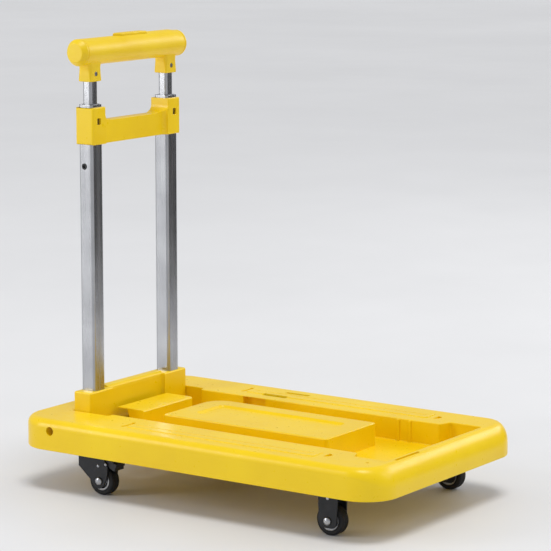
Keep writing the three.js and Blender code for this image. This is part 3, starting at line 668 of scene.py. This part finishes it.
def tubes(name, side):
    """The three nested tubes of one side, with the lock bush, the spring seat and the hinge pin."""
    outer = square_tube(OUTER_TUBE, 68.3, 385.3, side)
    y0, y1 = y_range(side, TUBE_Y + 6, TUBE_Y + 12)
    cut(outer, prism(circle(LOCK_X, LOCK_Z, 3 + GAP, 32), y0, y1, "Y"))
    piece(outer, f"outer_tube_{name}_satin", ALUMINIUM, [f"outer_tube_{name}"])
    middle = square_tube(MIDDLE_TUBE, 70, 384.9, side)
    piece(middle, f"middle_tube_{name}_satin", ALUMINIUM, [f"middle_tube_{name}"])
    inner = square_tube(INNER_TUBE, 104.3, INNER_TOP, side)
    piece(inner, f"inner_tube_{name}_satin", ALUMINIUM, [f"inner_tube_{name}"])
    y0, y1 = y_range(side, TUBE_Y + 7.65, TUBE_Y + 9.3)
    bush = prism(circle(LOCK_X, LOCK_Z, 3, 32), y0, y1, "Y", 0.3, 0.3, 3)
    cut(bush, prism(circle(LOCK_X, LOCK_Z, 1.6, 24), y0 - 1, y1 + 1, "Y"))
    piece(bush, f"lock_bush_{name}_ring", BLACK_PLASTIC, [f"lock_bush_{name}"])
    seat = rounded_rect(5.75, 5.75, 2.6, 8, HINGE_X, side * TUBE_Y)
    piece(prism(seat, 94, 104, r0=0.5, r1=0.5), f"spring_seat_{name}_block", GREY_PLASTIC,
          [f"spring_seat_{name}"])
    ends = y_range(side, PIN_INNER, PIN_OUTER)
    profile = [(0, ends[0]), (3.2, ends[0]), (3.8, ends[0] + 0.25), (4, ends[0] + 0.9),
               (4, ends[1] - 0.9), (3.8, ends[1] - 0.25), (3.2, ends[1]), (0, ends[1])]
    piece(revolve(profile, HINGE_X, 0, HINGE_Z, 40), f"hinge_pin_{name}_steel", ZINC,
          [f"hinge_pin_{name}"])


def smooth(a, b, value):
    """Rises smoothly from 0 at a to 1 at b."""
    t = min(1.0, max(0.0, (value - a) / (b - a)))
    return t * t * (3 - 2 * t)


def grip_ring(radius, y):
    """A section of the grip; its upper half is lifted a little around the button."""
    lift = 1.25 * smooth(-26, -12, y) * smooth(79, 64, y)
    return [(HINGE_X + dx, y, GRIP_Z + dz + lift * max(0.0, dz) / radius)
            for dx, dz in circle(0, 0, radius, 64)]


def button_outline(grow):
    """Plan of the thumb button."""
    length, width = 25 + grow, 5.5 + grow
    half = [(0, -length), (width - 1.5, -length + 6), (width, -length + 9), (width, length - 1),
            (width - 1, length)]
    points = half + [(-x, y) for x, y in half[1:][::-1]]
    return counter_clockwise([(x + HINGE_X, y) for x, y in points])


def stem_ring(side, half_x, half_y, z):
    """A section of a grip stem; its corners open up towards the grip."""
    corner = 1.6 + 3.6 * smooth(STEM_BOTTOM, GRIP_Z - 8, z)
    return [(x, y, z) for x, y in rounded_rect(half_x, half_y, corner, 8, HINGE_X, side * TUBE_Y)]


def grip_body():
    """The round grip with its two stems and the recess for the button."""
    reach = GRIP_HALF - CAP_LENGTH
    turns = [math.pi / 2 * i / 4 for i in range(5)]
    lead = [(GRIP_RADIUS - 0.8 * (1 - math.sin(t)), reach - 0.8 * (1 - math.cos(t))) for t in turns]
    hump = [grip_ring(GRIP_RADIUS, -26 + 1.4 * k) for k in range(11)]
    hump += [grip_ring(GRIP_RADIUS, 64 + 1.45 * k) for k in range(10)]
    body = loft([grip_ring(r, -y) for r, y in lead] + hump + [grip_ring(r, y) for r, y in lead[::-1]])
    for side in SIDES.values():
        levels = [(7.2, 8.2, STEM_BOTTOM), (7.7, 8.7, STEM_BOTTOM + 0.3), (8, 9, STEM_BOTTOM + 0.9)]
        flare = [(8 + t * t, 9 + 4 * t * t, GRIP_Z - 20 + 14 * t) for t in [i / 8 for i in range(9)]]
        join(body, loft([stem_ring(side, *level) for level in levels + flare]))
    for side in SIDES.values():
        cut(body, tube_bore(INNER_TUBE, side, STEM_BOTTOM - 1, INNER_TOP + GAP))
        screw = circle(side * TUBE_Y, SCREW_Z, 2.5, 32)
        cut(body, prism(screw, HINGE_X + 6.6, HINGE_X + 12, "X"))
    cut(body, prism(button_outline(0.4), GRIP_Z + 3.2, GRIP_Z + 20))
    piece(body, "grip_moulding", YELLOW_SOFT, ["grip_body"])


def grip_fittings():
    """The end caps, the screws in the stems, and the thumb button."""
    for name, side in SIDES.items():
        start = GRIP_HALF - CAP_LENGTH + GAP
        lip = [(GRIP_RADIUS - 0.4, start), (GRIP_RADIUS - 0.1, start + 0.2), (GRIP_RADIUS, start + 0.6)]
        nose = [(GRIP_RADIUS, start + 1.7), (GRIP_RADIUS - 0.25, start + 2.2),
                (CAP_RADIUS + 0.5, GRIP_HALF - 0.4), (CAP_RADIUS - 0.1, GRIP_HALF - 0.08),
                (CAP_RADIUS - 0.7, GRIP_HALF)]
        rings = [grip_ring(r, side * y) for r, y in lip + nose]
        piece(loft(rings), f"grip_cap_{name}_moulding", YELLOW_SOFT, [f"grip_cap_{name}"])
        head = prism(circle(side * TUBE_Y, SCREW_Z, 2.2, 32), HINGE_X + 6.9, HINGE_X + 7.8, "X", 0, 0.3, 3)
        cut(head, prism(circle(side * TUBE_Y, SCREW_Z, 1.1, 6), HINGE_X + 7.3, HINGE_X + 9, "X"))
        piece(head, f"stem_screw_{name}_head", ZINC, [f"stem_screw_{name}"])
    top = GRIP_Z + GRIP_RADIUS + 2.5
    button = prism(button_outline(0), GRIP_Z + GRIP_RADIUS - 7, top, r1=1.0)
    for y in range(-9, 16, 4):
        cut(button, prism(circle(y, top + 0.9, 1.3, 20), HINGE_X - 4, HINGE_X + 4, "X"))
    piece(button, "thumb_button_moulding", YELLOW, ["thumb_button"])


# ------------------------------------------------------------------ casters
def leg_pair(outline, wheel_x, y):
    """The two legs of a fork, each with its axle hole."""
    legs = []
    for side in SIDES.values():
        y0, y1 = y_range(side, FORK_IN, FORK_OUT)
        legs.append(cut(prism(outline, y + y0, y + y1, "Y"),
                        prism(circle(wheel_x, WHEEL_Z, 2.3, 24), y - 20, y + 20, "Y")))
    return legs


def rivet(x, z, radius, face, side):
    """A low domed rivet on the outer face of a fork leg."""
    turns = [math.pi / 2 * i / 6 for i in range(6)]
    dome = [(radius * math.cos(t), face + side * 0.7 * math.sin(t)) for t in turns]
    profile = [(0, face - side * 0.2), (radius, face - side * 0.2)] + dome + [(0, face + side * 0.7)]
    return revolve(profile, x, 0, z, 24)


def fork(name, x, y, swivel):
    """A caster fork and its rivets; a front fork is one piece with its fixed top plate."""
    wheel_x = x + (TRAIL if swivel else 0)
    if swivel:
        outline = ([(x - 14.5, CROWN_TOP), (x - 14.5, 28), (wheel_x - 10.5, WHEEL_Z)]
                   + arc(wheel_x - 1, WHEEL_Z - 1.5, 6.5, 215, 325, 16)
                   + [(wheel_x + 9.5, WHEEL_Z + 3), (wheel_x + 11, 30), (x + 14, CROWN_TOP)])
    else:
        outline = ([(x - 13, CROWN_TOP), (x - 10.8, CROWN_TOP - 7), (x - 10, WHEEL_Z)]
                   + arc(x - 4, WHEEL_Z - 1, 6, 180, 270, 10) + arc(x + 4, WHEEL_Z - 1, 6, 270, 360, 10)
                   + [(x + 10, WHEEL_Z), (x + 10.8, CROWN_TOP - 7), (x + 13, CROWN_TOP)])
    legs = leg_pair(counter_clockwise(outline), wheel_x, y)
    if swivel:
        body = prism(rounded_rect(14, FORK_OUT, 4, 8, x, y), CROWN_BOTTOM, CROWN_TOP)
        join(body, *legs)
        cut(body, prism(circle(x, y, 3.6, 32), CROWN_BOTTOM - 5, CROWN_TOP + 5))
    else:
        body = block(x - 13, x + 13, y - FORK_OUT, y + FORK_OUT, CROWN_BOTTOM, PLATE_TOP - 1)
        join(body, *legs, prism(rounded_rect(PLATE_HALF, PLATE_HALF, 4, 8, x, y), PLATE_BOTTOM, PLATE_TOP))
    bevel(body, 0.3, 2, 35)
    end = "rear" if swivel else "front"
    node = f"{end}_{name}_fork"
    piece(body, f"{node}_pressing", BLACK_STEEL, [node])

    spots = ((wheel_x - 1, 30.4, 1.5), (wheel_x + 8.5, 33, 1.5)) if swivel else ((x, 37, 1.6),)
    heads = [rivet(*spot, y + side * FORK_OUT, side) for side in SIDES.values() for spot in spots]
    piece(merge(*heads), f"{node}_rivets", ZINC, body=BODY_OF[node])


def screw_places(x, y):
    return [(x + sx * SCREW_REACH, y + sy * SCREW_REACH) for sx in (-1, 1) for sy in (-1, 1)]


def swivel_plate(name, x, y):
    """The top plate of a swivel caster with its kingpin."""
    body = prism(rounded_rect(PLATE_HALF, PLATE_HALF, 4, 8, x, y), PLATE_BOTTOM, PLATE_TOP, r0=0.3)
    for screw_x, screw_y in screw_places(x, y):
        cut(body, prism(circle(screw_x, screw_y, 2, 24), PLATE_BOTTOM - 1, PLATE_TOP + 1))
    kingpin = prism(circle(x, y, KINGPIN_RADIUS, 32), CROWN_BOTTOM - 1.6, PLATE_BOTTOM + 1)
    join(body, kingpin, prism(circle(x, y, 5, 32), CROWN_BOTTOM - 1.8, CROWN_BOTTOM - GAP, r0=0.8))
    piece(body, f"rear_{name}_plate_pressing", BLACK_STEEL, [f"rear_{name}_plate"])


def plate_screws(name, end, x, y):
    """The four pan head screws that hold a caster plate, seen from below."""
    heads = []
    for screw_x, screw_y in screw_places(x, y):
        head = prism(circle(screw_x, screw_y, 3, 24), PLATE_BOTTOM - 1.4, PLATE_BOTTOM + 0.6, r0=0.9)
        for half_x, half_y in ((1.7, 0.3), (0.3, 1.7)):
            cut(head, block(screw_x - half_x, screw_x + half_x, screw_y - half_y, screw_y + half_y,
                            PLATE_BOTTOM - 3, PLATE_BOTTOM - 0.7))
        heads.append(head)
    piece(merge(*heads), f"{end}_{name}_plate_screws", ZINC, body="deck")


def axle(node, x, y):
    """An axle bolt with a domed head at each end."""
    reach = FORK_OUT + GAP
    turns = [math.pi / 2 * i / 8 for i in range(8)]
    dome = [(AXLE_HEAD * math.cos(t), reach + 0.5 + 1.9 * math.sin(t)) for t in turns]
    half = ([(AXLE_RADIUS, reach), (AXLE_HEAD - 0.3, reach), (AXLE_HEAD, reach + 0.3)] + dome
            + [(0, reach + 2.4)])
    profile = [(r, -across) for r, across in half[::-1]] + half
    body = revolve([(r, y + across) for r, across in profile], x, 0, WHEEL_Z, 40)
    piece(body, f"{node}_bolt", ZINC, [node])


def wheel(end, name, x, y):
    """The hub of a wheel, the pale zinc rings on its faces that paint the highlights of its rims, and its
    tyre.
    """
    half = WHEEL_HALF
    hub = [(2.4, half + 1), (4.2, half + 1), (4.6, half + 0.7), (5, half - 1.6), (7.0, half - 1.7),
           (7.2, half - 1.1), (8.0, half - 0.3), (10.2, half - 0.3)]
    profile = [(r, -across) for r, across in hub] + hub[::-1]
    body = revolve([(r, y + across) for r, across in profile], x, 0, WHEEL_Z, 72)
    node = f"{end}_{name}_hub"
    piece(body, f"{node}_core", GREY_PLASTIC, [node])
    # Two thin pale zinc rings on each hub face, barely standing out of it: painted highlights of the hub's
    # rims.
    rings = []
    for side in SIDES.values():
        for radius, wide, back, thick in ((8.9, 1.2, 0.35, 0.45), (6.0, 0.4, 1.5, 0.35)):
            turns = [math.pi * 2 * i / 12 for i in range(12)]
            face = y + side * (half - back)
            section = [(radius + wide * math.cos(t), face + thick * math.sin(t)) for t in turns]
            rings.append(revolve(section, x, 0, WHEEL_Z, 72))
    # The painted highlight rings, joined as one object.
    piece(merge(*rings), f"{node}_rings", ZINC, body=BODY_OF[node])

    tread = [(10.5, half), (12.6, half)] + arc(12.6, half - 2.4, 2.4, 90, 0, 8)[1:]
    groove = WHEEL_RADIUS - 0.3
    tread += [(WHEEL_RADIUS, 1.7), (groove, 1.3), (groove, 0.9), (WHEEL_RADIUS, 0.5)]
    profile = [(r, -across) for r, across in tread] + tread[::-1]
    body = revolve([(r, y + across) for r, across in profile], x, 0, WHEEL_Z, 96)
    node = f"{end}_{name}_tyre"
    piece(body, f"{node}_tread", RUBBER, [node])


def brake_lever(name, x, y):
    """A stepped foot lever between the fork's legs, with grip notches on its top."""
    px, pz = x + TRAIL + BRAKE_X, BRAKE_Z
    side = [(px - 3, pz - 1.5), (px + 3, pz - 2), (px + 15, pz - 8), (px + 17, pz - 8), (px + 17, pz - 4.5),
            (px + 18.4, pz - 4.5), (px + 18.4, pz - 0.4), (px + 15, pz - 0.4), (px + 15, pz + 1.6),
            (px + 3, pz + 2), (px - 3, pz + 2)]
    body = prism(counter_clockwise(side), y - FORK_IN + GAP, y + FORK_IN - GAP, "Y")
    bevel(body, 0.5, 3, 25)
    for k in range(4):
        notch = circle(px + 4.5 + 2.5 * k, pz + 2.1, 0.6, 16)
        cut(body, prism(notch, y - 20, y + 20, "Y"))
    piece(body, f"rear_{name}_brake_tread", BLACK_PLASTIC, [f"rear_{name}_brake"])


deck()
lock_pedal()
foot_bracket()
collar_bracket()
grip_body()
grip_fittings()
for side_name, side_sign in SIDES.items():
    tubes(side_name, side_sign)
    caster_y = side_sign * CASTER_Y
    fork(side_name, REAR_X, caster_y, True)
    fork(side_name, FRONT_X, caster_y, False)
    swivel_plate(side_name, REAR_X, caster_y)
    brake_lever(side_name, REAR_X, caster_y)
    for which, plate_x, wheel_x in (("rear", REAR_X, REAR_X + TRAIL), ("front", FRONT_X, FRONT_X)):
        plate_screws(side_name, which, plate_x, caster_y)
        axle(f"{which}_{side_name}_axle", wheel_x, caster_y)
        wheel(which, side_name, wheel_x, caster_y)


# ------------------------------------------------------------------ floor, light and camera
def pale_floor():
    made = bpy.data.materials.new("pale_floor")
    made.use_nodes = True
    tree = made.node_tree
    shader = tree.nodes["Principled BSDF"]
    where = tree.nodes.new("ShaderNodeTexCoord").outputs["Object"]
    colour = ramp(tree, noise(tree, where, 1.4), [(0.3, srgb(222, 222, 223)), (0.7, srgb(228, 228, 229))])
    tree.links.new(colour, shader.inputs["Base Color"])
    roughness = ramp(tree, noise(tree, where, 9.0), [(0.3, grey(0.5)), (0.7, grey(0.6))])
    tree.links.new(roughness, shader.inputs["Roughness"])
    bumps = add_node(tree, "ShaderNodeBump", Strength=0.03, Distance=0.001)
    tree.links.new(noise(tree, where, 300.0), bumps.inputs["Height"])
    tree.links.new(bumps.outputs["Normal"], shader.inputs["Normal"])
    return made


FLOOR_HALF = 20000
floor_edge = rectangle(-FLOOR_HALF, FLOOR_HALF, -FLOOR_HALF, FLOOR_HALF)
floor = make_object("studio_floor", [(x, y, 0) for x, y in floor_edge], [(0, 1, 2, 3)])
floor.data.materials.append(pale_floor())

scene = bpy.context.scene
world = bpy.data.worlds.new("studio")
scene.world = world
world.use_nodes = True
world.node_tree.nodes["Background"].inputs["Color"].default_value = (0.86, 0.88, 0.92, 1.0)
world.node_tree.nodes["Background"].inputs["Strength"].default_value = 0.55


def area_light(name, place, target, size, size_y, watts):
    lamp = bpy.data.lights.new(name, "AREA")
    lamp.shape = "RECTANGLE"
    lamp.size = size
    lamp.size_y = size_y
    lamp.energy = watts
    obj = bpy.data.objects.new(name, lamp)
    obj.location = place
    obj.rotation_euler = (Vector(target) - Vector(place)).to_track_quat("-Z", "Y").to_euler()
    scene.collection.objects.link(obj)


sun = bpy.data.lights.new("sun", "SUN")
sun.energy = 1.45
sun.angle = math.radians(24)
sun.color = (1.0, 0.99, 0.97)
sun_object = bpy.data.objects.new("sun", sun)
sun_object.rotation_euler = Vector((-0.2, 0.15, -1.05)).to_track_quat("-Z", "Y").to_euler()
scene.collection.objects.link(sun_object)
area_light("softbox", (-1.5, -1.6, 0.9), (-0.1, 0, 0.25), 0.5, 1.3, 14)
area_light("front_softbox", (1.6, 1.0, 1.1), (0, 0, 0.2), 0.8, 1.0, 4)
area_light("rim", (0.7, 1.9, 1.15), (0, 0, 0.2), 1.5, 0.5, 10)

# A dark card that only the gloss sees, as in a photo studio: it gives the metal its darker sides.
CARD_START, CARD_END, CARD_HEIGHT = (1000, 300), (150, 1150), 400
card_corners = [(*CARD_START, 0), (*CARD_END, 0), (*CARD_END, CARD_HEIGHT), (*CARD_START, CARD_HEIGHT)]
card = make_object("studio_card", card_corners, [(0, 1, 2, 3)])
card_finish = bpy.data.materials.new("studio_card")
card_finish.use_nodes = True
card_finish.node_tree.nodes["Principled BSDF"].inputs["Base Color"].default_value = srgb(58, 56, 55)
card.data.materials.append(card_finish)
card.visible_camera = card.visible_diffuse = card.visible_shadow = False

camera_data = bpy.data.cameras.new("camera")
camera_data.sensor_width = 36
camera_data.lens = 170.64
camera_data.clip_end = 100
camera = bpy.data.objects.new("camera", camera_data)
right = Vector((0.8223, 0.5690, 0.0)).normalized()
forward = Vector((-0.5613, 0.8112, -0.1637)).normalized()
up = right.cross(forward)
camera.matrix_world = Matrix.Translation((1.46823, -2.10505, 0.64458)) @ Matrix(
    [(right[i], up[i], -forward[i]) for i in range(3)]).to_4x4()
scene.collection.objects.link(camera)
scene.camera = camera
scene.view_settings.view_transform = "Standard"
